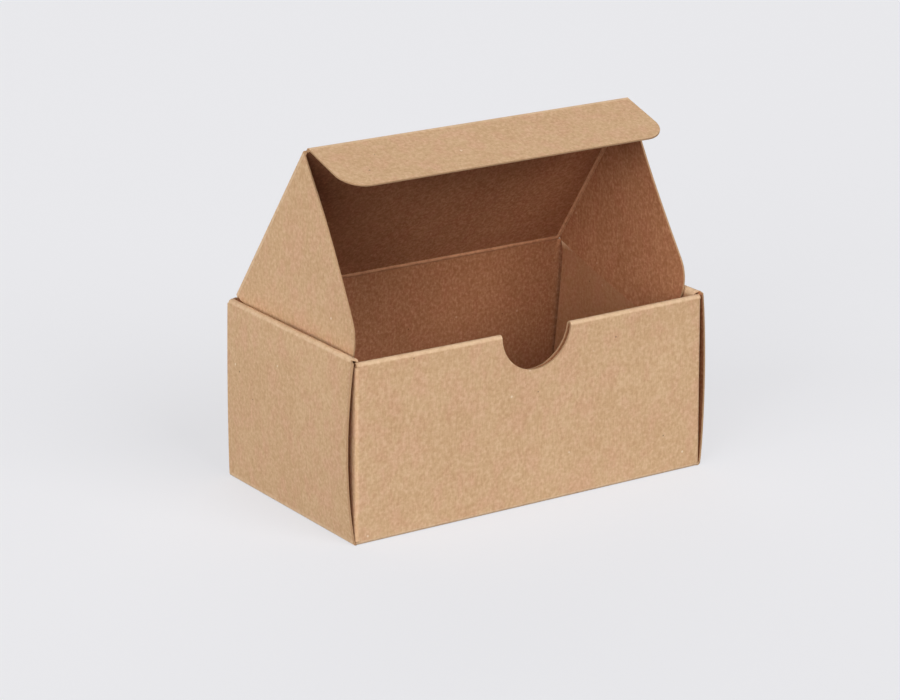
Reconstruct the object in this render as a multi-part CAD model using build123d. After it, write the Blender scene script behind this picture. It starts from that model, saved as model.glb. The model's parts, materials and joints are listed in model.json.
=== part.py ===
"""Business card box: a tray, a hinged lid, a tuck flap and two dust flaps, folded from one sheet of board.

Millimetres. The origin is at the middle of the bottom, +Z is up, the thumb notch faces -Y.
"""

import os
from math import radians, tan

from build123d import *

# Board and creases
BOARD = 0.5                # thickness of the kraft board
FOLD_RADIUS = 0.35         # inner radius of a right-angle fold
BEAD_RADIUS = 0.42         # the ridge that a crease raises on its inner side
BEAD_CLEARANCE = 0.05      # between a bead and the edge of the flap that swings on it
BEAD_ROOT = 0.3            # how far from a bead's middle its own panel starts
LAYER_CLEARANCE = 0.08     # between two layers of board that lie flat on each other
EDGE_CLEARANCE = 0.3       # between a raw edge and the panel that it points at

# Tray
BOX_WIDTH = 100.0          # over the side walls, without their bow
BOX_DEPTH = 56.4           # over the front and back walls
BOX_HEIGHT = 44.9          # to the top of the rolled side walls
FRONT_DROP = 0.9           # top of the rolled front wall below that of the side walls
SIDE_ROLL = 2.0            # thickness of a side wall over its rolled top
FRONT_ROLL = 1.8           # thickness of the front wall over its rolled top
SIDE_LEAN = 2.0            # how far the foot of a side's inner panel stands in from its top
SIDE_BOW_FRONT = 1.1       # outward bow of a side wall at its front edge
SIDE_BOW_REAR = 0.25       # the same at its rear edge
SIDE_EDGE_INSET = 0.3      # raw end edges of a side wall behind the faces of the front and back walls
ROLL_END_INSET = 0.9       # a side's rolled top stops this far short of its outer panel
INNER_REAR_GAP = 1.6       # between a side's inner panel and the back wall, at the top
CORNER_TAB = 22.0          # length of the tabs that the side walls enclose
CORNER_TAB_DROP = 0.6      # top of these tabs below the start of the front wall's roll
NOTCH_RADIUS = 9.7         # half-round thumb notch in the front wall
LOCK_TAB_WIDTH = 12.0      # tabs that lock the side's inner panels in the bottom
LOCK_TAB_OFFSET = 14.0     # their middles, in front of and behind the middle of the box
LOCK_TAB_CLEARANCE = 0.2   # between a lock tab and its slot

# Lid
LID_OPEN = 55.0            # degrees above closed
LID_CLEARANCE = 0.3        # between the closed lid and the top of the side walls
LID_REAR_INSET = 2.9       # dust flap's crease from the outside of the box, at the hinge
LID_FRONT_INSET = 3.8      # the same at the tuck flap
TUCK_BACKSET = 2.6         # tuck flap's crease behind the front wall's inner panel, with the lid closed

# Tuck flap
TUCK_LENGTH = 18.0
TUCK_SIDE_INSET = 0.6      # its side edge from the end of its crease
TUCK_CORNER = 6.5          # corner radius
TUCK_FOLD = 72.5           # degrees down from the lid's plane

# Dust flaps
DUST_FOOT_CLEARANCE = 1.7  # between the outer edge and the bottom, with the lid closed
DUST_TIP = 17.0            # length of the outer edge, up to its square corners
DUST_REAR_INSET = 1.6      # root of the flap from the hinge crease
DUST_FRONT_INSET = 0.9     # root of the flap from the tuck flap's crease
DUST_FRONT_SLANT = 23.2    # degrees off square, front edge
DUST_FRONT_CORNER = 9.5    # corner radius
DUST_REAR_CORNER = 5.0
DUST_FOLD = 92.0           # degrees down from the lid's plane

# Places that several pieces share
HALF_WIDTH = BOX_WIDTH / 2
HALF_DEPTH = BOX_DEPTH / 2
BEND = FOLD_RADIUS + BOARD                                  # outer radius of a right-angle fold
FRONT_HEIGHT = BOX_HEIGHT - FRONT_DROP
TAB_FACE = HALF_WIDTH - BOARD - LAYER_CLEARANCE             # outer face of the corner tabs
TAB_TOP = FRONT_HEIGHT - FRONT_ROLL / 2 - CORNER_TAB_DROP
WALL_END = TAB_FACE - BEND                                  # where the front and back walls turn into tabs
PANEL_FOOT = BOARD + LOCK_TAB_CLEARANCE                     # lower edge of the inner panels
HINGE_Y = HALF_DEPTH - BOARD                                # the lid's crease, on the back wall's inner face
HINGE_HEIGHT = BOX_HEIGHT + LID_CLEARANCE
HINGE_AXIS = Axis((0, HINGE_Y, HINGE_HEIGHT), (1, 0, 0))
LID_HALF_REAR = HALF_WIDTH - LID_REAR_INSET
LID_HALF_FRONT = HALF_WIDTH - LID_FRONT_INSET
TUCK_Y = FRONT_ROLL + TUCK_BACKSET - HALF_DEPTH             # the tuck flap's crease, with the lid closed
TUCK_AXIS = Axis((0, TUCK_Y, HINGE_HEIGHT), (1, 0, 0))
TUCK_HALF = LID_HALF_FRONT - TUCK_SIDE_INSET
DUST_LENGTH = HINGE_HEIGHT - BOARD - DUST_FOOT_CLEARANCE    # from the crease to the outer edge
FLAP_START = BEAD_RADIUS + BEAD_CLEARANCE                   # edge of a flap from the crease it swings on


def prism(plane, start, end, outline):
    """A flat outline drawn on a plane, given depth between two distances along the plane's normal."""
    return extrude(plane.offset(start) * outline, end - start, dir=plane.z_dir)


def bead(start, end):
    """The round ridge along a crease."""
    return Solid.make_cylinder(BEAD_RADIUS, (end - start).length, Plane(start, z_dir=end - start))


def ring_part(radius, turn):
    """Section of the board round a fold at the origin: a quarter or half ring that starts at +X."""
    blank = Circle(radius) - Circle(radius - BOARD)
    window = Pos(0, radius) * Rectangle(4 * radius, 2 * radius)
    if turn == 90:
        window = Pos(radius, radius) * Rectangle(2 * radius, 2 * radius)
    return blank & window


def corner_fold(turn):
    """Section of a right-angle fold, turned to its quarter."""
    return Rot(0, 0, turn) * ring_part(BEND, 90)


def bowed_section(bow):
    """Section of a side wall's outer panel, bowed outwards between its two folds."""
    low = BEND
    high = BOX_HEIGHT - SIDE_ROLL / 2
    middle = (low + high) / 2
    outer = ThreePointArc((HALF_WIDTH, low), (HALF_WIDTH + bow, middle), (HALF_WIDTH, high))
    inner = ThreePointArc(
        (HALF_WIDTH - BOARD, high), (HALF_WIDTH - BOARD + bow, middle), (HALF_WIDTH - BOARD, low)
    )
    ends = [Line(outer @ 1, inner @ 0), Line(inner @ 1, outer @ 0)]
    return make_face([outer, inner] + ends)


def leaning_section(low, high):
    """Section of a side wall's inner panel between two heights."""
    top = BOX_HEIGHT - SIDE_ROLL / 2
    slope = SIDE_LEAN / (top - PANEL_FOOT)
    face = HALF_WIDTH - SIDE_ROLL
    at_high = face - slope * (top - high)
    at_low = face - slope * (top - low)
    return Polygon(
        (at_high, high), (at_high + BOARD, high), (at_low + BOARD, low), (at_low, low), align=None
    )


def side_wall():
    """Right side wall: outer panel, rolled top, leaning inner panel and its lock tabs."""
    edge = HALF_DEPTH - SIDE_EDGE_INSET
    top = BOX_HEIGHT - SIDE_ROLL / 2
    fold = prism(Plane.XZ, -edge, edge, Pos(HALF_WIDTH - BEND, BEND) * corner_fold(-90))
    outer = loft(
        [
            Plane.XZ.offset(edge) * bowed_section(SIDE_BOW_FRONT),
            Plane.XZ.offset(-edge) * bowed_section(SIDE_BOW_REAR),
        ],
        ruled=True,
    )
    roll = Pos(HALF_WIDTH - SIDE_ROLL / 2, top) * ring_part(SIDE_ROLL / 2, 180)
    rolled = prism(Plane.XZ, -edge, edge, roll + leaning_section(PANEL_FOOT, top))
    roll_end = edge - ROLL_END_INSET
    front = HALF_DEPTH - FRONT_ROLL - EDGE_CLEARANCE
    rear_low = HINGE_Y - EDGE_CLEARANCE
    rear_high = HINGE_Y - INNER_REAR_GAP
    relief = top - SIDE_ROLL
    above = BOX_HEIGHT + BOARD
    blank = Polygon(
        (-roll_end, above), (-roll_end, top), (-front, relief), (-front, 0),
        (rear_low, 0), (rear_high, relief), (roll_end, top), (roll_end, above),
        align=None,
    )
    wall = fold + outer + (rolled & prism(Plane.YZ, 0, BOX_WIDTH, blank))
    for middle in (-LOCK_TAB_OFFSET, LOCK_TAB_OFFSET):
        tab = leaning_section(0, PANEL_FOOT)
        wall += prism(Plane.XZ, middle - LOCK_TAB_WIDTH / 2, middle + LOCK_TAB_WIDTH / 2, tab)
    return wall


def lock_slots():
    """Openings in the bottom for the right side wall's lock tabs."""
    tab = leaning_section(0, PANEL_FOOT).bounding_box()
    low = tab.min.X - LOCK_TAB_CLEARANCE
    high = tab.max.X + LOCK_TAB_CLEARANCE
    size = LOCK_TAB_WIDTH + 2 * LOCK_TAB_CLEARANCE
    slot = Pos((low + high) / 2, 0, 0) * Box(high - low, size, 4 * BOARD)
    return Pos(0, -LOCK_TAB_OFFSET, 0) * slot + Pos(0, LOCK_TAB_OFFSET, 0) * slot


def corner_tabs(face, inward):
    """Right corner fold of the front or back wall, with the tab that goes between the side wall's layers."""
    start = face + inward * BEND
    fold = Pos(WALL_END, start) * corner_fold(-90 if inward > 0 else 0)
    tab = Pos(TAB_FACE - BOARD / 2, start + inward * CORNER_TAB / 2) * Rectangle(BOARD, CORNER_TAB)
    return prism(Plane.XY, BEND + LAYER_CLEARANCE, TAB_TOP, fold + tab)


def both_sides(piece):
    """A piece and its mirror image on the other side of the box."""
    return piece + mirror(piece, Plane.YZ)


def panel(width_low, width_high, low, high):
    """Outline of an upright panel that is centred on X."""
    return Polygon(
        (-width_low / 2, low), (width_low / 2, low), (width_high / 2, high), (-width_high / 2, high),
        align=None,
    )


def front_wall():
    """Front wall: outer panel, rolled top, inner panel, corner tabs and a notch through both layers."""
    top = FRONT_HEIGHT - FRONT_ROLL / 2
    roll_width = 2 * (HALF_WIDTH - SIDE_ROLL - EDGE_CLEARANCE)
    fold = prism(Plane.YZ, -WALL_END, WALL_END, Pos(-HALF_DEPTH + BEND, BEND) * corner_fold(180))
    outer = prism(Plane.XZ, HALF_DEPTH - BOARD, HALF_DEPTH, panel(2 * WALL_END, 2 * WALL_END, BEND, top))
    roll = Pos(-HALF_DEPTH + FRONT_ROLL / 2, top) * ring_part(FRONT_ROLL / 2, 180)
    rolled = prism(Plane.YZ, -roll_width / 2, roll_width / 2, roll)
    inner_face = HALF_DEPTH - FRONT_ROLL
    foot_width = roll_width - 2 * SIDE_LEAN
    inner = prism(
        Plane.XZ, inner_face, inner_face + BOARD, panel(foot_width, roll_width, PANEL_FOOT, top)
    )
    notch = Pos(0, FRONT_HEIGHT) * Circle(NOTCH_RADIUS)
    wall = fold + outer + rolled + inner + both_sides(corner_tabs(-HALF_DEPTH, 1))
    return wall - prism(Plane.XZ, inner_face - BOARD, HALF_DEPTH + BOARD, notch)


def back_wall():
    """Back wall with its corner tabs, and the bead of the lid's crease along its top."""
    top = HINGE_HEIGHT - BEAD_ROOT
    fold = prism(Plane.YZ, -WALL_END, WALL_END, Pos(HALF_DEPTH - BEND, BEND) * corner_fold(-90))
    width = 2 * WALL_END
    outline = panel(width, width, BEND, TAB_TOP) + panel(width, 2 * LID_HALF_REAR, TAB_TOP, top)
    outer = prism(Plane.XZ, -HALF_DEPTH, -HINGE_Y, outline)
    end = Vector(LID_HALF_REAR, HINGE_Y, HINGE_HEIGHT)
    crease = bead(Vector(-end.X, end.Y, end.Z), end)
    return fold + outer + crease + both_sides(corner_tabs(HALF_DEPTH, -1))


def tray():
    """Bottom and walls as one folded sheet."""
    bottom = Box(
        BOX_WIDTH - 2 * BEND, BOX_DEPTH - 2 * BEND, BOARD, align=(Align.CENTER, Align.CENTER, Align.MIN)
    )
    bottom -= both_sides(lock_slots())
    return bottom + front_wall() + back_wall() + both_sides(side_wall())


def dust_crease(inset_rear, inset_front):
    """Ends of the right dust flap's crease, with the lid closed."""
    rear = Vector(LID_HALF_REAR, HINGE_Y, HINGE_HEIGHT)
    front = Vector(LID_HALF_FRONT, TUCK_Y, HINGE_HEIGHT)
    along = (front - rear).normalized()
    return rear + along * inset_rear, front - along * inset_front


def lid_closed():
    """Lid panel, lying flat, with the beads of the tuck flap's and the dust flaps' creases."""
    rear = HINGE_Y - FLAP_START
    front = TUCK_Y + BEAD_ROOT
    half_rear = LID_HALF_REAR - BEAD_ROOT
    half_front = LID_HALF_FRONT - BEAD_ROOT
    sheet = Polygon(
        (-half_rear, rear), (half_rear, rear), (half_front, front), (-half_front, front), align=None
    )
    lid = prism(Plane.XY, HINGE_HEIGHT, HINGE_HEIGHT + BOARD, sheet)
    side_bead = bead(*dust_crease(DUST_REAR_INSET, DUST_FRONT_INSET))
    end = Vector(TUCK_HALF, TUCK_Y, HINGE_HEIGHT)
    return lid + both_sides(side_bead) + bead(Vector(-end.X, end.Y, end.Z), end)


def tuck_flap_closed():
    """Tuck flap: cut straight with rounded corners, and folded down at the lid's front."""
    root = TUCK_Y - FLAP_START
    tip = TUCK_Y - TUCK_LENGTH
    sheet = Polygon(
        (TUCK_HALF, root), (-TUCK_HALF, root), (-TUCK_HALF, tip), (TUCK_HALF, tip), align=None
    )
    sheet = fillet(sheet.vertices().group_by(Axis.Y)[0], TUCK_CORNER)
    flap = prism(Plane.XY, HINGE_HEIGHT, HINGE_HEIGHT + BOARD, sheet)
    return flap.rotate(TUCK_AXIS, TUCK_FOLD)


def dust_flap_closed():
    """Right dust flap: a slanted, round-cornered ear, folded down at the lid's side."""
    rear, front = dust_crease(DUST_REAR_INSET, DUST_FRONT_INSET)
    root_length = (front - rear).length
    front_run = tan(radians(DUST_FRONT_SLANT))
    tip_front = root_length - DUST_LENGTH * front_run
    rear_run = (tip_front - DUST_TIP) / DUST_LENGTH
    corners = [
        (FLAP_START * rear_run, FLAP_START),
        (root_length - FLAP_START * front_run, FLAP_START),
        (tip_front, DUST_LENGTH),
        (tip_front - DUST_TIP, DUST_LENGTH),
    ]
    sheet = Polygon(*corners, align=None)
    outer = sheet.vertices().group_by(Axis.Y)[-1].sort_by(Axis.X)
    sheet = fillet(outer[1], DUST_FRONT_CORNER)
    sheet = fillet(sheet.vertices().group_by(Axis.Y)[-1].sort_by(Axis.X)[0], DUST_REAR_CORNER)
    crease = Plane(rear, x_dir=front - rear, z_dir=(0, 0, 1))
    flap = prism(crease, 0, BOARD, sheet)
    return flap.rotate(Axis(rear, front - rear), -DUST_FOLD)


def opened(piece):
    """A piece of the closed lid, swung up about the hinge crease."""
    return piece.rotate(HINGE_AXIS, -LID_OPEN)


right_dust_flap = dust_flap_closed()
nodes = {
    "tray": tray(),
    "lid": opened(lid_closed()),
    "tuck_flap": opened(tuck_flap_closed()),
    "left_dust_flap": opened(mirror(right_dust_flap, Plane.YZ)),
    "right_dust_flap": opened(right_dust_flap),
}

os.makedirs("parts", exist_ok=True)
for name, piece in nodes.items():
    export_step(piece, f"parts/{name}.step")
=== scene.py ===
"""Business card box of brown kraft board, standing open on a pale floor.

Metres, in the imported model's frame: +X along the width, the notched front faces -Y, +Z up.
Every sheet is modelled by its outer side, folded panel by panel, and then given the board's thickness.
"""

import json
from math import asin, atan2, cos, pi, radians, sin, sqrt, tan

import bmesh
import bpy
from mathutils import Matrix, Vector
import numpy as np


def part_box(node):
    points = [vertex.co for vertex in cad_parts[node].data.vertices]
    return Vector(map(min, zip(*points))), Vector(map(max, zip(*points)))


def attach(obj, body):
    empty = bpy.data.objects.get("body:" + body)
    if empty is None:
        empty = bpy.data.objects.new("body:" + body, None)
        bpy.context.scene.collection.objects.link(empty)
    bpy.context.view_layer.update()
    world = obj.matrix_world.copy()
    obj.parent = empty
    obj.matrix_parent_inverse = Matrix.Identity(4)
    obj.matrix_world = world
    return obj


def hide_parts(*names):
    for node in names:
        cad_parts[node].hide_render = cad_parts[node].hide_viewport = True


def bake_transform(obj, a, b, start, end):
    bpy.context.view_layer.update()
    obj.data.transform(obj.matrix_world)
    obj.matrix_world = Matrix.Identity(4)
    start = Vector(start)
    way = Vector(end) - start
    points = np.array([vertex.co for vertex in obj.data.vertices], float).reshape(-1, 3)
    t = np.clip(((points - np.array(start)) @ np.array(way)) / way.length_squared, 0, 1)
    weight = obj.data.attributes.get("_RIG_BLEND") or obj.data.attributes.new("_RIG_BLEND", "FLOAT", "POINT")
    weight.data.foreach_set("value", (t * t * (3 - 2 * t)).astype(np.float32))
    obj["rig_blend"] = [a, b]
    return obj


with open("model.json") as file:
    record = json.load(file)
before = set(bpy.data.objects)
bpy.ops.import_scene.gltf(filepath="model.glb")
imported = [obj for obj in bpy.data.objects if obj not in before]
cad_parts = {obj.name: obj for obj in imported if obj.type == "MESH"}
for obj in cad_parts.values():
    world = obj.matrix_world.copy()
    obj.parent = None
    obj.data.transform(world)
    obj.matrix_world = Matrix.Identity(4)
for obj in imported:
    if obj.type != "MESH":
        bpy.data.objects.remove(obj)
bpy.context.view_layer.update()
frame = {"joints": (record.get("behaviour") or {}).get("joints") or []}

MM = 0.001
SLACK = 0.01 * MM               # two places nearer than this count as one
WELD = 0.002 * MM               # corners nearer than this are joined
X = Vector((1, 0, 0))
Y = Vector((0, 1, 0))
Z = Vector((0, 0, 1))

# Board
BOARD = 0.5 * MM
BEND = 0.85 * MM                # outer radius of a right-angle fold
SHOULDER = 0.7 * MM             # the stretch beside a fold where its fibres are stretched
LAYER_GAP = 0.08 * MM           # between two layers that lie flat on each other
EDGE_GAP = 0.3 * MM             # between a raw edge and the panel that it points at
CREASE_REACH = 0.6 * MM         # how far a crease's bent fibres reach into the panels beside it
CREASE_BEAD = 0.5 * MM          # radius of the ridge that a crease raises on its inner side
CREASE_NEAR = 1.3 * CREASE_REACH    # an open edge nearer than this to a crease's line is no raw edge
EDGE_ROUND = 0.07 * MM          # rounding that the cutting rule leaves on a raw edge

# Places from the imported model
joints = {joint["name"]: joint for joint in frame["joints"]}
HINGE = Vector(joints["lid_hinge"]["pos_m"])
TUCK = Vector(joints["tuck_crease"]["pos_m"])
HALF_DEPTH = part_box("tray")[1].y
LID_ALONG = (TUCK - HINGE).normalized()
LID_OUT = LID_ALONG.cross(X)
LID_LENGTH = (TUCK - HINGE).length

# Tray: heights and rolls
HALF_WIDTH = 50.0 * MM
SIDE_TOP = HINGE.z - 0.3 * MM
FRONT_TOP = SIDE_TOP - 0.9 * MM
SIDE_ROLL = 1.0 * MM            # radius of a side wall's rolled top
FRONT_ROLL = 0.9 * MM           # radius of the front wall's rolled top
PANEL_FOOT = BOARD + 0.2 * MM   # lower edge of the inner panels
PAINTED_SHADE_DEPTH = 1.6 * MM                 # depth under the rim at which the painted shade on a rolled-in panel reaches the inside's tone

# Tray: front and back walls
FRONT_LINE = -HALF_DEPTH + BEND                     # where the front wall's foot fold begins
FRONT_INNER = -HALF_DEPTH + 2 * FRONT_ROLL          # the front's inner panel
WALL_END = HALF_WIDTH - BOARD - LAYER_GAP - BEND    # where the front and back walls turn into tabs
CORNER_REACH = 0.8 * MM         # how far the foot folds of the front and back reach into the corners
CORNER_TAB = 22.0 * MM
TAB_FOOT = BEND + LAYER_GAP
TAB_TOP = FRONT_TOP - FRONT_ROLL - 0.1 * MM
FRONT_ROLL_END = WALL_END - 0.2 * MM
ROLL_OVERHANG = 0.8 * MM        # how far the front's roll reaches on over its corner folds
FRONT_PANEL_END = HALF_WIDTH - 2 * SIDE_ROLL - EDGE_GAP
FRONT_BOW = 0.7 * MM            # outward bow of the front wall's top, at the notch
NOTCH_RADIUS = 9.9 * MM
NOTCH_PLACE = 0.25 * MM         # the notch sits a little right of the middle
NOTCH_SPREAD = 0.5 * MM         # how far the inner layer stands off, and is cut lower, at the notch
NOTCH_REACH = 14.0 * MM         # how far down the wall its rows make way for the notch
NOTCH_STEPS = 24
NOTCH_END = sqrt(NOTCH_RADIUS**2 - FRONT_ROLL**2)
NOTCH_TURN = asin(NOTCH_END / NOTCH_RADIUS)
NOTCH_COLUMNS = [
    NOTCH_PLACE + NOTCH_RADIUS * sin(NOTCH_TURN * (2 * k / NOTCH_STEPS - 1)) for k in range(NOTCH_STEPS + 1)
]

# Tray: side walls, with values for the right (1) and the left (-1) where they differ
SIDE_EDGE = HALF_DEPTH - 0.4 * MM
SIDE_ROLL_FRONT = -SIDE_EDGE + 1.0 * MM
SIDE_ROLL_REAR = SIDE_EDGE - 0.4 * MM
SIDE_CORNER_RISE = 0.7 * MM     # height of the front top corner over the roll's centre
SIDE_CORNER_DROP = 0.42 * MM    # how much lower that corner's front end is
SIDE_CORNER_FLARE = {1: 0.3 * MM, -1: 0.45 * MM}    # outward curl of the front edge towards its top
SIDE_BOW_FRONT = {1: 2.1 * MM, -1: 1.6 * MM}        # outward bow at the front edge
SIDE_BOW_REAR = 0.25 * MM                           # the same at the rear edge
BOW_PEAK = {1: 1.0, -1: 0.95}                       # below 1 the bow's highest point lies under the middle
BOW_FULLNESS = {1: 0.7, -1: 0.85}                   # below 1 the bow is fuller towards its ends
SIDE_SET_BACK = {1: 1.3 * MM, -1: 0.4 * MM}         # how far the front edge stands behind its corners
SET_BACK_START = -20.0 * MM                         # the wall behind this stays in its place
SIDE_LEAN = 0.3 * MM            # how far the foot of the inner panel stands in from its top
INNER_REAR_TURN = 3.7 * MM      # how much further in the foot of its rear edge has bent
INNER_REAR_BEND = 20.2 * MM     # where that bend begins, behind the rear lock tab
INNER_REAR_GAP = 1.6 * MM       # between its rear edge and the back wall, at the top
INNER_REAR_REACH = 1.2 * MM     # how much further back that edge stands at its foot
INNER_EDGE = 26.05 * MM         # the inner panel's columns outside this are its front and rear edges
LOCK_TABS = (8.0 * MM, 20.0 * MM)
LOCK_SLOTS = (7.8 * MM, 20.2 * MM)
LOCK_LINE = HALF_WIDTH - 2 * SIDE_ROLL - SIDE_LEAN
SLOT_SIDES = (LOCK_LINE - 0.12 * MM, LOCK_LINE + BOARD + 0.2 * MM)
FOOT_SPREAD = 1.1 * MM          # how far out of square the foot of the front right corner stands

# Tray: where its sheet is divided
SIDE_COLUMNS = [14 * MM, 20 * MM, 26 * MM, 32 * MM, 38 * MM, 42 * MM, *SLOT_SIDES, FRONT_ROLL_END]
DEPTH_COLUMNS = [*LOCK_TABS, *LOCK_SLOTS, 4 * MM, 12 * MM, 16 * MM, 22 * MM, 24 * MM, 26 * MM]

# Lid and flaps
LID_HALF_REAR = HALF_WIDTH - 2.9 * MM
TUCK_HALF = HALF_WIDTH - 4.4 * MM
TUCK_LENGTH = 18.0 * MM
TUCK_CORNER = 6.5 * MM
TUCK_FOLD = radians(72.5)
DUST_REAR_INSET = 0.3 * MM
DUST_FRONT_INSET = 0.6 * MM
DUST_REAR_CUT = 0.25 * MM       # room beside the bead of the lid's crease, when the flap lies flat
DUST_LENGTH = 43.0 * MM
DUST_SHOULDER = 1.8 * MM        # straight stretch of the rear edge beside the crease
DUST_TIP = 17.0 * MM
DUST_TIP_PLACE = 32.2 * MM      # from the hinge along the crease to the tip's front end
DUST_FRONT_CORNER = 9.5 * MM
DUST_REAR_CORNER = 5.0 * MM
DUST_FOLD = radians(92.0)
DUST_FLARE = 2.1 * MM           # outward bend of the tip, where it rests on the rolled rim
DUST_FLARE_START = 0.25         # where that bend begins, as a share of the flap's length
DUST_FLARE_REAR = 0.35          # share of it that the flap's rear edge has

# View: the camera that was fitted to the photograph's box corners
CAMERA_PLACE = Vector((-440.21, -637.86, 284.23)) * MM
CAMERA_AZIMUTH = radians(-34.329)
CAMERA_ELEVATION = radians(18.102)
CAMERA_ROLL = radians(0.545)
CAMERA_LENS = 135.3


# Materials

def hex_colour(code):
    """Linear colour from an sRGB hex value."""
    parts = [int(code[i : i + 2], 16) / 255 for i in (1, 3, 5)]
    return [p / 12.92 if p <= 0.04045 else ((p + 0.055) / 1.055) ** 2.4 for p in parts] + [1.0]


def add(tree, kind, settings=None, **inputs):
    """Adds a node with its settings, and sets or links its inputs. An input's name has _ for each space."""
    node = tree.nodes.new(kind)
    for name, value in (settings or {}).items():
        setattr(node, name, value)
    for name, value in inputs.items():
        key = int(name[1:]) if name[0] == "i" and name[1:].isdigit() else name.replace("_", " ")
        if isinstance(value, bpy.types.NodeSocket):
            tree.links.new(value, node.inputs[key])
        else:
            node.inputs[key].default_value = value
    return node


def kraft(name, paper, deep, pale, rosy, speck, pulp, shift, painted_shade_tone=None):
    """Uncoated kraft liner: cloudy brown, here rosier and there yellower, with short fibres and specks."""
    material = bpy.data.materials.new(name)
    material.use_nodes = True
    tree = material.node_tree
    shader = tree.nodes["Principled BSDF"]
    own = add(tree, "ShaderNodeTexCoord").outputs["Object"]
    place = add(tree, "ShaderNodeMapping", Vector=own, Location=shift).outputs["Vector"]
    colour = hex_colour(paper)

    # Pulp gathers in clouds of about a centimetre and in flocks of about a millimetre. Single fibres are
    # finer than a pixel, so bundles of them are drawn, a quarter millimetre wide and upright.
    # Each layer: size in mm, detail, factor on its heights (below 1 it is drawn taller), and its tones. Each
    # tone: colour, the noise where it starts and ends, and its amount there.
    layers = {
        "clouds": (11.0, 3, 1.0, [(deep, 0.35, 0.65, 0.26, 0.0)]),
        "blush": (4.5, 3, 0.7, [(rosy, 0.46, 0.64, 0.0, 0.75)]),
        "flocks": (1.3, 4, 1.0, [(deep, 0.3, 0.5, 0.3, 0.0), (pale, 0.54, 0.7, 0.0, 0.24)]),
        "grain": (0.8, 2, 1.0, [(deep, 0.3, 0.5, 0.4, 0.0), (pale, 0.5, 0.7, 0.0, 0.4)]),
        "fibres": (0.3, 1, 0.14, [(pale, 0.56, 0.72, 0.0, 0.25), (deep, 0.44, 0.3, 0.0, 0.25)]),
    }
    noise = {}
    for layer, (size, detail, taller, tones) in layers.items():
        spot = add(tree, "ShaderNodeMapping", Vector=place, Scale=(1, 1, taller)).outputs["Vector"]
        noise[layer] = add(
            tree, "ShaderNodeTexNoise", Vector=spot, Scale=1 / (size * MM), Detail=detail, Roughness=0.6
        ).outputs["Fac"]
        for tone, start, end, at_start, at_end in tones:
            amount = add(
                tree, "ShaderNodeMapRange", Value=noise[layer], From_Min=start, From_Max=end, To_Min=at_start,
                To_Max=at_end,
            ).outputs["Result"]
            colour = add(
                tree, "ShaderNodeMix", {"data_type": "RGBA"}, i0=amount, i6=colour, i7=hex_colour(tone)
            ).outputs[2]

    # A wall shows about ten dark and ten pale specks, each about half a millimetre across
    for cell, radius, dot, turn in ((6.4, 0.27, speck, 0.0), (7.3, 0.4, pulp, 1.0)):
        spot = add(tree, "ShaderNodeMapping", Vector=place, Location=(turn, turn, turn)).outputs["Vector"]
        distance = add(tree, "ShaderNodeTexVoronoi", Vector=spot, Scale=1 / (cell * MM)).outputs["Distance"]
        amount = add(
            tree, "ShaderNodeMapRange", Value=distance, From_Min=radius / cell, From_Max=radius / cell / 2,
            To_Max=0.7,
        ).outputs["Result"]
        colour = add(
            tree, "ShaderNodeMix", {"data_type": "RGBA"}, i0=amount, i6=colour, i7=hex_colour(dot)
        ).outputs[2]

    # Folds lie paler, here more and there less: partly from stretched fibres, partly as a painted highlight
    # on their rounds
    fold_part = add(tree, "ShaderNodeAttribute", {"attribute_name": "fold"}).outputs["Fac"]
    patchy = add(
        tree, "ShaderNodeMapRange", Value=noise["flocks"], From_Min=0.3, From_Max=0.62, To_Min=0.25,
        To_Max=0.7,
    ).outputs["Result"]
    worn_and_highlit = add(tree, "ShaderNodeMath", {"operation": "MULTIPLY"}, i0=fold_part, i1=patchy).outputs["Value"]
    colour = add(
        tree, "ShaderNodeMix", {"data_type": "RGBA"}, i0=worn_and_highlit, i6=colour, i7=hex_colour(pale)
    ).outputs[2]

    # Painted shade: the rolled-in panels, though they are outer liner, are darkened towards the inside's tone
    # the deeper they lie under the rim
    if painted_shade_tone:
        painted_shade_part = add(tree, "ShaderNodeAttribute", {"attribute_name": "deep"}).outputs["Fac"]
        colour = add(
            tree, "ShaderNodeMix", {"data_type": "RGBA", "blend_type": "MULTIPLY"}, i0=painted_shade_part, i6=colour,
            i7=hex_colour(painted_shade_tone),
        ).outputs[2]
    tree.links.new(colour, shader.inputs["Base Color"])

    matt = add(
        tree, "ShaderNodeMapRange", Value=noise["flocks"], From_Min=0.3, From_Max=0.7, To_Min=0.82,
        To_Max=0.95,
    )
    tree.links.new(matt.outputs["Result"], shader.inputs["Roughness"])
    # The liner's relief is about a twentieth of a millimetre
    relief = add(tree, "ShaderNodeMath", {"operation": "ADD"}, i0=noise["flocks"], i1=noise["grain"])
    bump = add(tree, "ShaderNodeBump", Height=relief.outputs["Value"], Strength=0.35, Distance=0.125 * MM)
    tree.links.new(bump.outputs["Normal"], shader.inputs["Normal"])
    shader.inputs["IOR"].default_value = 1.45
    shader.inputs["Specular IOR Level"].default_value = 0.25
    return material


def raw_edge():
    """Cut edge of the board: torn fibres without a liner, so duller and streaked along the cut."""
    material = bpy.data.materials.new("kraft_board_cut_edge")
    material.use_nodes = True
    tree = material.node_tree
    shader = tree.nodes["Principled BSDF"]
    place = add(tree, "ShaderNodeTexCoord").outputs["Object"]
    fibres = add(tree, "ShaderNodeTexNoise", Vector=place, Scale=1 / (0.3 * MM), Detail=3.0).outputs["Fac"]
    colour = add(
        tree, "ShaderNodeMix", {"data_type": "RGBA"}, i0=fibres, i6=hex_colour("#A17B59"),
        i7=hex_colour("#C8A480"),
    ).outputs[2]
    tree.links.new(colour, shader.inputs["Base Color"])
    bump = add(tree, "ShaderNodeBump", Height=fibres, Strength=0.4, Distance=0.04 * MM)
    tree.links.new(bump.outputs["Normal"], shader.inputs["Normal"])
    shader.inputs["Roughness"].default_value = 0.95
    shader.inputs["Specular IOR Level"].default_value = 0.15
    return material
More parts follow.
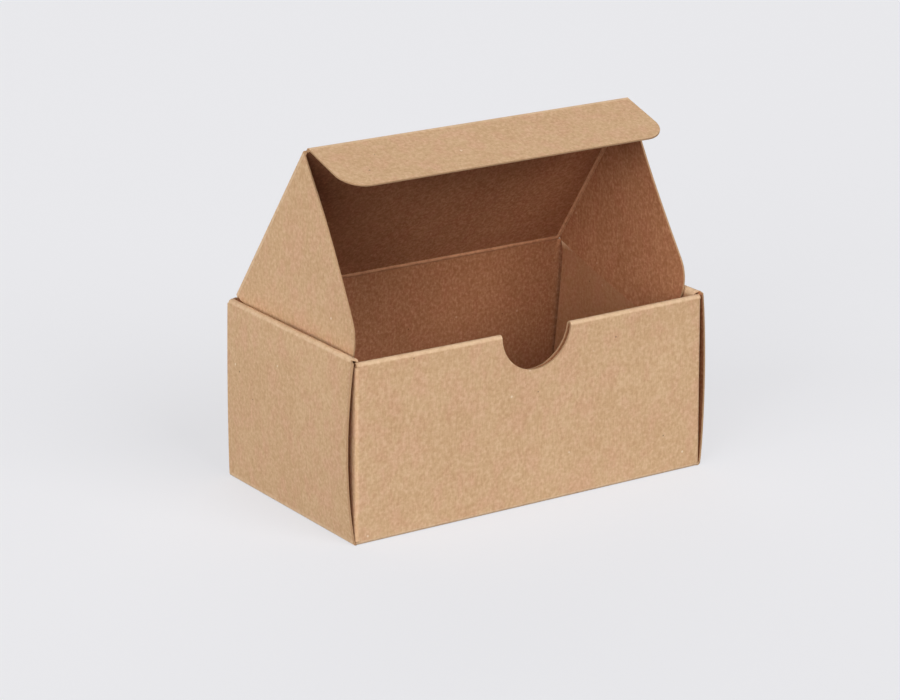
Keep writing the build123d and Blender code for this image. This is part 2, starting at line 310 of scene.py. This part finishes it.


# The outer liner looks sandy and dry. Its folds are paler, partly from stretched fibres and partly from a
# painted highlight, and its rolled-in panels carry painted shade
OUTSIDE = kraft(
    "kraft_liner_outside", paper="#D7B38B", deep="#BE916A", pale="#EACAA6", rosy="#D7AA89", speck="#5E4028",
    pulp="#F3E2C6", shift=(0.0, 0.0, 0.0), painted_shade_tone="#D0B5A7",
)
# The inner liner is redder and deeper, so that the open box looks warm inside
INSIDE = kraft(
    "kraft_liner_inside", paper="#B07854", deep="#8C5634", pale="#D29C75", rosy="#AD7050", speck="#4E301D",
    pulp="#D2A37E", shift=(0.31, 0.17, 0.23),
)
# The cut edge draws a thin line that shows how thick the board is
CUT = raw_edge()


# Folding

def new_sheet():
    """An empty sheet that remembers where it is folded, how deep it lies under the rim for painted shade, and
    which raw edges are rounded.
    """
    bm = bmesh.new()
    bm.verts.layers.float.new("fold")
    bm.verts.layers.float.new("deep")
    bm.edges.layers.float.new("bevel_weight_edge")
    return bm


def near(value, place):
    return abs(value - place) < SLACK


def between(value, low, high):
    return low - SLACK < value < high + SLACK


def edges_where(bm, test):
    """The sheet's open edges whose two ends both pass a test."""
    return [e for e in bm.edges if e.is_boundary and all(test(v.co) for v in e.verts)]


def ends_of(edges):
    """The ends of a row of edges, each once."""
    return list(dict.fromkeys(v for e in edges for v in e.verts))


def pull(bm, edges, move):
    """Adds a flat panel to a row of open edges, and gives back its far edges."""
    fresh = bmesh.ops.extrude_edge_only(bm, edges=edges)["geom"]
    verts = [g for g in fresh if isinstance(g, bmesh.types.BMVert)]
    layer = bm.verts.layers.float["fold"]
    for v in verts:
        v[layer] = 0.0
    bmesh.ops.translate(bm, verts=verts, vec=move)
    return [g for g in fresh if isinstance(g, bmesh.types.BMEdge) and all(v in verts for v in g.verts)]


def climb(bm, edges, heights):
    """Adds a wall to a row of open edges, row by row up or down to each height."""
    for height in heights:
        edges = pull(bm, edges, Z * (height - edges[0].verts[0].co.z))
    return edges


def fold(bm, edges, centre, axis, angle, steps=6, wear_and_highlight=1.0):
    """Rolls the sheet on from a row of open edges, round a centre line, and gives back its far edges."""
    before = set(bm.verts)
    turned = bmesh.ops.spin(
        bm, geom=ends_of(edges) + edges, cent=centre, axis=axis, angle=angle, steps=steps, dvec=(0, 0, 0),
        use_duplicate=False,
    )
    # The new rows are marked as folded and lie paler, partly from stretched fibres and partly as a painted
    # highlight
    layer = bm.verts.layers.float["fold"]
    for v in set(bm.verts) - before:
        v[layer] = wear_and_highlight
    return [g for g in turned["geom_last"] if isinstance(g, bmesh.types.BMEdge)]


def pinch(bm, test):
    """Closes the end of a roll, where the board is pressed together."""
    arc = edges_where(bm, test)
    ends = [v for v in ends_of(arc) if sum(e in arc for e in v.link_edges) == 1]
    bm.edges.new(ends)
    bmesh.ops.contextual_create(bm, geom=arc + [bm.edges.get(ends)])


def score(bm, normal, places):
    """Divides the sheet along parallel planes."""
    for place in places:
        bmesh.ops.bisect_plane(
            bm, geom=bm.verts[:] + bm.edges[:] + bm.faces[:], plane_co=normal * place, plane_no=normal,
            dist=WELD / 2,
        )


def new_piece(bm, name):
    """Makes an object of a sheet, with its finishes and smooth bends."""
    mesh = bpy.data.meshes.new(name)
    bm.to_mesh(mesh)
    bm.free()
    mesh.shade_smooth()
    for material in (OUTSIDE, INSIDE, CUT):
        mesh.materials.append(material)
    piece = bpy.data.objects.new(name, mesh)
    bpy.context.scene.collection.objects.link(piece)
    return piece


def finish_sheet(bm, body, outward, creases):
    """Gives a sheet its thickness and cut edges, and puts it in the place of its body's CAD node."""
    bmesh.ops.remove_doubles(bm, verts=bm.verts, dist=WELD)
    bmesh.ops.recalc_face_normals(bm, faces=bm.faces)
    bm.faces.ensure_lookup_table()
    if bm.faces[0].normal.dot(outward) < 0:
        bmesh.ops.reverse_faces(bm, faces=bm.faces)
    weight = bm.edges.layers.float["bevel_weight_edge"]
    for e in bm.edges:
        middle = (e.verts[0].co + e.verts[1].co) / 2
        joined = any((middle - start).cross(along).length < CREASE_NEAR for start, along in creases)
        if e.is_boundary and not joined:
            e[weight] = 1.0
    piece = new_piece(bm, f"{body}_sheet")
    board = piece.modifiers.new("board", "SOLIDIFY")
    board.thickness = BOARD
    board.offset = -1.0
    board.material_offset = 1
    board.material_offset_rim = 2
    rounding = piece.modifiers.new("cut_edges", "BEVEL")
    rounding.limit_method = "WEIGHT"
    rounding.width = EDGE_ROUND
    rounding.segments = 2
    rounding.profile = 0.5
    rounding.material = -1
    solid = piece.evaluated_get(bpy.context.evaluated_depsgraph_get())
    piece.data = bpy.data.meshes.new_from_object(solid)
    piece.modifiers.clear()
    piece.data.set_sharp_from_angle(angle=radians(20))
    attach(piece, body)
    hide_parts(body)


# Tray

def rows(low, high, count):
    """Heights of a wall's rows, with a narrow row at each end."""
    first = low + SHOULDER
    last = high - SHOULDER
    return [first + (last - first) * k / count for k in range(count + 1)] + [high]


def inner_rows(top):
    """Heights of an inner panel's rows, from its roll down to its foot."""
    return [top - SHOULDER, top - PAINTED_SHADE_DEPTH] + [top + (PANEL_FOOT - top) * k / 9 for k in range(1, 10)]


def corner_feet(bm, line, face):
    """Carries the foot fold of the front or back on into the box's corners."""
    for side in (-1, 1):
        ends = edges_where(
            bm,
            lambda p: near(p.x, side * WALL_END) and p.z < BEND + SLACK
            and between(p.y, min(line, face), max(line, face)),
        )
        pull(bm, ends, X * side * CORNER_REACH)


def corner_tabs(bm, face, turn):
    """Folds the ends of the front or back wall into tabs that lie inside the side walls."""
    inward = -1 if face > 0 else 1
    for side in (-1, 1):
        ends = edges_where(
            bm, lambda p: near(p.x, side * WALL_END) and near(p.y, face) and between(p.z, TAB_FOOT, TAB_TOP)
        )
        centre = Vector((side * WALL_END, face + inward * BEND, 0))
        pull(bm, fold(bm, ends, centre, Z, side * turn, wear_and_highlight=0.0), Y * inward * CORNER_TAB)


def front_wall(bm):
    """Front wall: outer panel, rolled top on both sides of the notch, and inner panel."""
    foot = edges_where(bm, lambda p: near(p.y, FRONT_LINE))
    bend = fold(bm, foot, Vector((0, FRONT_LINE, BEND)), X, -pi / 2)
    corner_feet(bm, FRONT_LINE, -HALF_DEPTH)
    top = FRONT_TOP - FRONT_ROLL
    climb(bm, bend, [TAB_FOOT] + rows(TAB_FOOT, TAB_TOP, 9) + [top])
    corner_tabs(bm, -HALF_DEPTH, pi / 2)
    for side in (-1, 1):
        rim = edges_where(
            bm,
            lambda p: near(p.z, top) and near(p.y, -HALF_DEPTH)
            and between(side * p.x, side * NOTCH_PLACE + NOTCH_END, FRONT_ROLL_END),
        )
        rolled = fold(bm, rim, Vector((0, -HALF_DEPTH + FRONT_ROLL, top)), X, -pi, steps=10)
        climb(bm, rolled, inner_rows(top))
        ends = edges_where(
            bm,
            lambda p: near(p.x, side * FRONT_ROLL_END) and p.z > top - SLACK and p.y < FRONT_INNER + SLACK,
        )
        pull(bm, ends, X * side * ROLL_OVERHANG)
        pinch(bm, lambda p: near(p.x, side * (FRONT_ROLL_END + ROLL_OVERHANG)) and p.z > top - SLACK)
    bridge = edges_where(
        bm, lambda p: near(p.x, NOTCH_COLUMNS[0]) and near(p.y, FRONT_INNER) and p.z < top + SLACK
    )
    for left, right in zip(NOTCH_COLUMNS, NOTCH_COLUMNS[1:]):
        bridge = pull(bm, bridge, X * (right - left))
    bmesh.ops.remove_doubles(bm, verts=bm.verts, dist=WELD)


def back_wall(bm):
    """Back wall, up to where the lid's crease begins."""
    foot = edges_where(bm, lambda p: near(p.y, -FRONT_LINE))
    bend = fold(bm, foot, Vector((0, -FRONT_LINE, BEND)), X, pi / 2)
    corner_feet(bm, -FRONT_LINE, HALF_DEPTH)
    rim = climb(bm, bend, [TAB_FOOT] + rows(TAB_FOOT, TAB_TOP, 9))
    corner_tabs(bm, HALF_DEPTH, -pi / 2)
    rim = climb(bm, rim, [HINGE.z - 2 * CREASE_REACH, HINGE.z - CREASE_REACH])
    for v in ends_of(rim):
        if near(abs(v.co.x), WALL_END):
            v.co.x *= LID_HALF_REAR / WALL_END


def side_wall(bm, side):
    """Side wall: outer panel, rolled top, inner panel with a bent rear edge, and its lock tabs."""
    line = HALF_WIDTH - BEND
    foot = edges_where(bm, lambda p: near(p.x, side * line) and near(p.z, 0))
    bend = fold(bm, foot, Vector((side * line, 0, BEND)), Y, -side * pi / 2)
    top = SIDE_TOP - SIDE_ROLL
    rim = climb(bm, bend, rows(BEND, top, 12))
    corner = [e for e in rim if all(v.co.y < SIDE_ROLL_FRONT + SLACK for v in e.verts)]
    rim = [e for e in rim if all(between(v.co.y, SIDE_ROLL_FRONT, SIDE_ROLL_REAR) for v in e.verts)]
    rolled = fold(bm, rim, Vector((side * (HALF_WIDTH - SIDE_ROLL), 0, top)), Y, -side * pi, steps=10)
    for v in ends_of(pull(bm, corner, Z * SIDE_CORNER_RISE)):
        if v.co.y < SIDE_ROLL_FRONT - SLACK:
            v.co.z -= SIDE_CORNER_DROP
    slope = SIDE_LEAN / (top - PANEL_FOOT)
    height = top
    for place in inner_rows(top):
        rolled = pull(bm, rolled, (X * side * slope + Z) * (place - height))
        turn = INNER_REAR_TURN * (height - place) / top
        height = place
        drop = min(1.0, (top - place) / (2 * SIDE_ROLL))
        rear = HINGE.y - INNER_REAR_GAP + INNER_REAR_REACH * (top - place) / top
        for v in ends_of(rolled):
            behind = max(0.0, v.co.y - INNER_REAR_BEND) / (HINGE.y - INNER_REAR_BEND)
            v.co.x -= side * turn * behind**1.5
            if v.co.y < -INNER_EDGE:
                v.co.y = SIDE_ROLL_FRONT + drop * (FRONT_INNER + EDGE_GAP - SIDE_ROLL_FRONT)
            elif v.co.y > INNER_EDGE:
                v.co.y = SIDE_ROLL_REAR + drop * (rear - SIDE_ROLL_REAR)
    tabs = [e for e in rolled if all(between(abs(v.co.y), *LOCK_TABS) for v in e.verts)]
    pull(bm, tabs, (X * side * slope + Z) * -PANEL_FOOT)
    inner = HALF_WIDTH - 2 * SIDE_ROLL
    pinch(bm, lambda p: near(p.y, SIDE_ROLL_FRONT) and side * p.x > inner - SLACK and p.z > top - SLACK)


def mark_painted_shade(bm):
    """Marks how far the rolled-in panels lie under the rim, where painted shade darkens them."""
    layer = bm.verts.layers.float["deep"]
    inner = HALF_WIDTH - 2 * SIDE_ROLL
    for v in bm.verts:
        in_side = abs(v.co.x) < inner + SLACK and abs(v.co.y) < -FRONT_LINE - SLACK
        if (in_side or near(v.co.y, FRONT_INNER)) and v.co.z > PANEL_FOOT - SLACK:
            v[layer] = min(1.0, max(0.0, (SIDE_TOP - SIDE_ROLL - v.co.z) / PAINTED_SHADE_DEPTH))


def shape_side(bm, side):
    """Bows a side wall's outer panel outwards, most at its front edge, and sets that edge back."""
    top = SIDE_TOP - SIDE_ROLL
    for v in bm.verts:
        p = v.co
        if side * p.x < HALF_WIDTH - SLACK or p.z < BEND:
            continue
        if p.y < SIDE_ROLL_FRONT - SLACK:
            p.x += side * SIDE_CORNER_FLARE[side] * (p.z / SIDE_TOP) ** 3
        if p.z < top:
            swell = sin(pi * ((p.z - BEND) / (top - BEND)) ** BOW_PEAK[side]) ** BOW_FULLNESS[side]
            back = (p.y + SIDE_EDGE) / (2 * SIDE_EDGE)
            bow = SIDE_BOW_FRONT[side] + (SIDE_BOW_REAR - SIDE_BOW_FRONT[side]) * back
            p.x += side * bow * swell
            if p.y < SET_BACK_START:
                p.y += SIDE_SET_BACK[side] * swell * (SET_BACK_START - p.y) / (SET_BACK_START + SIDE_EDGE)


def shape_front(bm):
    """Cuts the notch's curve, slants the inner panel's ends and bows the top outwards."""
    top = FRONT_TOP - FRONT_ROLL
    low = FRONT_TOP - NOTCH_REACH
    for v in bm.verts:
        p = v.co
        if p.y > FRONT_INNER + SLACK or abs(p.x) > WALL_END + SLACK or p.z < BEND:
            continue
        aside = abs(p.x - NOTCH_PLACE)
        if aside < NOTCH_END - SLACK and p.z > low:
            arc = FRONT_TOP - sqrt(NOTCH_RADIUS**2 - aside**2)
            if near(p.y, FRONT_INNER):
                spread = NOTCH_SPREAD * (1 - (aside / NOTCH_RADIUS) ** 2)
                arc -= spread
                p.y += spread * (p.z - low) / (top - low)
            p.z = low + (p.z - low) * (arc - low) / (top - low)
        if near(p.y, FRONT_INNER) and near(abs(p.x), FRONT_ROLL_END) and p.z < top - SLACK:
            end = FRONT_PANEL_END - SIDE_LEAN * (top - p.z) / (top - PANEL_FOOT)
            p.x = end if p.x > 0 else -end
        p.y -= FRONT_BOW * (1 - (p.x / WALL_END) ** 2) * (p.z / FRONT_TOP) ** 2


def cut_slots(bm):
    """Opens the bottom where the side walls' lock tabs go in."""
    slots = []
    for f in bm.faces:
        middle = f.calc_center_median()
        across = SLOT_SIDES[0] < abs(middle.x) < SLOT_SIDES[1]
        if near(middle.z, 0) and across and LOCK_SLOTS[0] < abs(middle.y) < LOCK_SLOTS[1]:
            slots.append(f)
    bmesh.ops.delete(bm, geom=slots, context="FACES")


def tray():
    """Bottom and walls, folded from one sheet."""
    bm = new_sheet()
    right = HALF_WIDTH - BEND
    outline = [(WALL_END, FRONT_LINE), (right, -SIDE_EDGE), (right, SIDE_EDGE), (WALL_END, -FRONT_LINE)]
    outline += [(-x, y) for x, y in reversed(outline)]
    bm.faces.new([bm.verts.new((x, y, 0)) for x, y in outline])
    score(bm, X, NOTCH_COLUMNS + SIDE_COLUMNS + [-x for x in SIDE_COLUMNS])
    score(bm, Y, [0, SIDE_ROLL_FRONT, SIDE_ROLL_REAR] + DEPTH_COLUMNS + [-y for y in DEPTH_COLUMNS])
    front_wall(bm)
    back_wall(bm)
    for side in (-1, 1):
        side_wall(bm, side)
    mark_painted_shade(bm)
    for side in (-1, 1):
        shape_side(bm, side)
    shape_front(bm)
    cut_slots(bm)
    # The front right corner stands out of square, most at its foot
    for v in bm.verts:
        aside = max(0.0, v.co.x / HALF_WIDTH)
        v.co.x += FOOT_SPREAD * aside * (1 - v.co.z / SIDE_TOP) * (0.5 - v.co.y / (2 * HALF_DEPTH))
    finish_sheet(bm, "tray", -Z, [(HINGE, X)])


# Lid and flaps

def flap_sheet(corners, cuts):
    """A flat sheet from its outer side's corners. Cuts says how far some are rounded along their edges."""
    bm = new_sheet()
    verts = [bm.verts.new(c) for c in corners]
    bm.faces.new(verts)
    for index, cut in cuts.items():
        bmesh.ops.bevel(
            bm, geom=[verts[index]], offset=cut, affect="VERTICES", segments=12, profile=0.5, material=-1
        )
    return bm


def crease(name, parent, child, start, along, length, first, first_out, second, second_out):
    """The bent strip between two panels: round outside, with the raised bead of the crease inside."""
    bm = new_sheet()
    outer = [bm.verts.new(start + first_out * BOARD + first * CREASE_REACH)]
    outer.append(bm.verts.new(start + first_out * BOARD))
    bm.edges.new(outer)
    turn = first_out.angle(second_out)
    turn = turn if first_out.cross(second_out).dot(along) > 0 else -turn
    arc = bmesh.ops.spin(
        bm, geom=[outer[1]], cent=start, axis=along, angle=turn, steps=8, dvec=(0, 0, 0), use_duplicate=False
    )["geom_last"]
    line = [g for g in arc if isinstance(g, bmesh.types.BMVert)]
    for point in (second_out * BOARD + second * CREASE_REACH, second * CREASE_REACH, second * CREASE_BEAD):
        line.append(bm.verts.new(start + point))
        bm.edges.new(line[-2:])
    swing = second.angle(first)
    swing = swing if second.cross(first).dot(along) > 0 else -swing
    bead = bmesh.ops.spin(
        bm, geom=line[-1:], cent=start, axis=along, angle=swing, steps=10, dvec=(0, 0, 0), use_duplicate=False
    )["geom_last"]
    line = [g for g in bead if isinstance(g, bmesh.types.BMVert)]
    line.append(bm.verts.new(start + first * CREASE_REACH))
    bm.edges.new(line)
    bm.edges.new((line[-1], outer[0]))
    section = bmesh.ops.contextual_create(bm, geom=bm.edges[:])["faces"]
    far = bmesh.ops.extrude_face_region(bm, geom=section, use_keep_orig=True)["geom"]
    bmesh.ops.translate(bm, verts=[g for g in far if isinstance(g, bmesh.types.BMVert)], vec=along * length)
    bmesh.ops.recalc_face_normals(bm, faces=bm.faces)
    # The whole strip is marked as folded, so it lies paler, partly from stretched fibres and partly as a
    # painted highlight
    layer = bm.verts.layers.float["fold"]
    for v in bm.verts:
        v[layer] = 1.0
    for f in bm.faces:
        middle = f.calc_center_median() - start
        f.material_index = 0 if max(middle.dot(first_out), middle.dot(second_out)) > 0.3 * BOARD else 1
        if abs(f.normal.dot(along)) > 0.9:
            f.material_index = 2
    piece = new_piece(bm, name)
    piece.data.set_sharp_from_angle(angle=radians(40))
    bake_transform(piece, parent, child, start + first * CREASE_REACH, start + second * CREASE_REACH)


def dust_crease(side):
    """Rear end, direction and length of a dust flap's crease, from the hinge to the lid's front corner."""
    along = Vector(joints["right_dust_crease" if side > 0 else "left_dust_crease"]["axis"]).normalized()
    along = along if along.z > 0 else -along
    rear = HINGE + X * side * LID_HALF_REAR + along * DUST_REAR_INSET
    return rear, along, LID_LENGTH - DUST_REAR_INSET - DUST_FRONT_INSET


def lid():
    """Lid panel between its four creases."""
    half_rear = LID_HALF_REAR - CREASE_REACH
    half_front = half_rear + dust_crease(1)[1].x * LID_LENGTH
    rear = HINGE + LID_OUT * BOARD + LID_ALONG * CREASE_REACH
    front = TUCK + LID_OUT * BOARD - LID_ALONG * CREASE_REACH
    corners = [rear - X * half_rear, rear + X * half_rear, front + X * half_front, front - X * half_front]
    creases = [(HINGE, X), (TUCK, X)] + [dust_crease(s)[:2] for s in (-1, 1)]
    finish_sheet(flap_sheet(corners, {}), "lid", LID_OUT, creases)
    end = HINGE - X * LID_HALF_REAR
    crease("lid_crease", "tray", "lid", end, X, 2 * LID_HALF_REAR, -Z, Y, LID_ALONG, LID_OUT)


def tuck_flap():
    """Tuck flap with its rounded corners, folded down at the lid's front."""
    along = Matrix.Rotation(TUCK_FOLD, 3, "X") @ LID_ALONG
    out = along.cross(X)
    root = TUCK + out * BOARD + along * CREASE_REACH
    tip = TUCK + out * BOARD + along * TUCK_LENGTH
    corners = [root - X * TUCK_HALF, root + X * TUCK_HALF, tip + X * TUCK_HALF, tip - X * TUCK_HALF]
    finish_sheet(flap_sheet(corners, {2: TUCK_CORNER, 3: TUCK_CORNER}), "tuck_flap", out, [(TUCK, X)])
    end = TUCK - X * TUCK_HALF
    crease("tuck_crease", "lid", "tuck_flap", end, X, 2 * TUCK_HALF, -LID_ALONG, LID_OUT, along, out)


def dust_flap(side):
    """Slanted, round-cornered ear on the lid's side, bent out a little towards its tip."""
    body = "right_dust_flap" if side > 0 else "left_dust_flap"
    rear, along, root = dust_crease(side)
    across = LID_OUT.cross(along) * side
    down = across * cos(DUST_FOLD) - LID_OUT * sin(DUST_FOLD)
    out = across * sin(DUST_FOLD) + LID_OUT * cos(DUST_FOLD)
    tip_front = DUST_TIP_PLACE - DUST_REAR_INSET
    tip_rear = tip_front - DUST_TIP
    front_slant = atan2(root - tip_front, DUST_LENGTH)
    rear_slant = atan2(tip_rear, DUST_LENGTH - DUST_SHOULDER)
    flat = [
        (DUST_REAR_CUT, CREASE_REACH), (root - tan(front_slant) * CREASE_REACH, CREASE_REACH),
        (tip_front, DUST_LENGTH), (tip_rear, DUST_LENGTH), (DUST_REAR_CUT, DUST_SHOULDER),
    ]
    cuts = {
        2: DUST_FRONT_CORNER / tan((pi / 2 + front_slant) / 2),
        3: DUST_REAR_CORNER / tan((pi / 2 + rear_slant) / 2),
    }
    bm = flap_sheet([rear + out * BOARD + along * u + down * v for u, v in flat], cuts)
    score(bm, down, [rear.dot(down) + DUST_LENGTH * k / 12 for k in range(1, 12)])
    for v in bm.verts:
        reach = (v.co - rear).dot(down) / DUST_LENGTH
        forward = (v.co - rear).dot(along) / tip_front
        bent = (max(0.0, reach - DUST_FLARE_START) / (1 - DUST_FLARE_START)) ** 1.5
        share = min(1.0, DUST_FLARE_REAR + (1 - DUST_FLARE_REAR) * forward)
        v.co += out * DUST_FLARE * bent * share
    finish_sheet(bm, body, out, [(rear, along)])
    crease(f"{body}_crease", "lid", body, rear, along, root, -across, LID_OUT, down, out)


# Studio

def direction(azimuth, elevation):
    """Direction from the box to a place that is turned right from the front and raised."""
    return Vector((sin(azimuth) * cos(elevation), -cos(azimuth) * cos(elevation), sin(elevation)))


def studio():
    """Pale floor, soft light from four sides and the camera."""
    bpy.ops.mesh.primitive_plane_add(size=8.0, location=(0, 0, -0.05 * MM))
    floor = bpy.context.object
    floor.name = "floor"
    # A matt floor that looks nearly white to the camera, under a soft shadow
    material = bpy.data.materials.new("pale_floor")
    material.use_nodes = True
    tree = material.node_tree
    shader = tree.nodes["Principled BSDF"]
    shader.inputs["Base Color"].default_value = hex_colour("#909092")
    shader.inputs["Roughness"].default_value = 1.0
    shader.inputs["Specular IOR Level"].default_value = 0.0
    shader.inputs["Emission Color"].default_value = hex_colour("#EDEDF0")
    ray = add(tree, "ShaderNodeLightPath").outputs
    seen = ray["Is Camera Ray"]
    for other in ("Is Glossy Ray", "Is Transmission Ray"):
        seen = add(tree, "ShaderNodeMath", {"operation": "MAXIMUM"}, i0=seen, i1=ray[other]).outputs["Value"]
    lift = add(tree, "ShaderNodeMath", {"operation": "MULTIPLY"}, i0=seen, i1=0.71)
    tree.links.new(lift.outputs["Value"], shader.inputs["Emission Strength"])
    floor.data.materials.append(material)

    world = bpy.data.worlds.new("studio")
    world.use_nodes = True
    world.node_tree.nodes["Background"].inputs["Color"].default_value = hex_colour("#F2F2F4")
    world.node_tree.nodes["Background"].inputs["Strength"].default_value = 0.13
    bpy.context.scene.world = world

    # Strength, width in degrees, and the direction each light comes from: degrees right of the front, and up
    for name, strength, width, turn, height in (
        ("soft_left", 0.45, 50, -78, 19),
        ("soft_front", 0.53, 40, 13, 35),
        ("soft_fill", 0.37, 30, -52, 16),
        ("soft_rear", 0.34, 60, 152, 12),
    ):
        lamp = bpy.data.lights.new(name, "SUN")
        lamp.energy = strength * pi
        lamp.angle = radians(width)
        light = bpy.data.objects.new(name, lamp)
        light.rotation_euler = direction(radians(turn), radians(height)).to_track_quat("Z", "Y").to_euler()
        bpy.context.scene.collection.objects.link(light)

    view = bpy.data.cameras.new("view")
    view.sensor_width = 36.0
    view.lens = CAMERA_LENS
    camera = bpy.data.objects.new("view", view)
    back = direction(CAMERA_AZIMUTH, CAMERA_ELEVATION)
    level = Vector((cos(CAMERA_AZIMUTH), sin(CAMERA_AZIMUTH), 0))
    right = level * cos(CAMERA_ROLL) + back.cross(level) * sin(CAMERA_ROLL)
    turned = Matrix((right, back.cross(right), back)).transposed()
    camera.matrix_world = Matrix.Translation(CAMERA_PLACE) @ turned.to_4x4()
    bpy.context.scene.collection.objects.link(camera)
    bpy.context.scene.camera = camera
    bpy.context.scene.view_settings.view_transform = "Standard"



tray()
lid()
tuck_flap()
for side in (-1, 1):
    dust_flap(side)
studio()
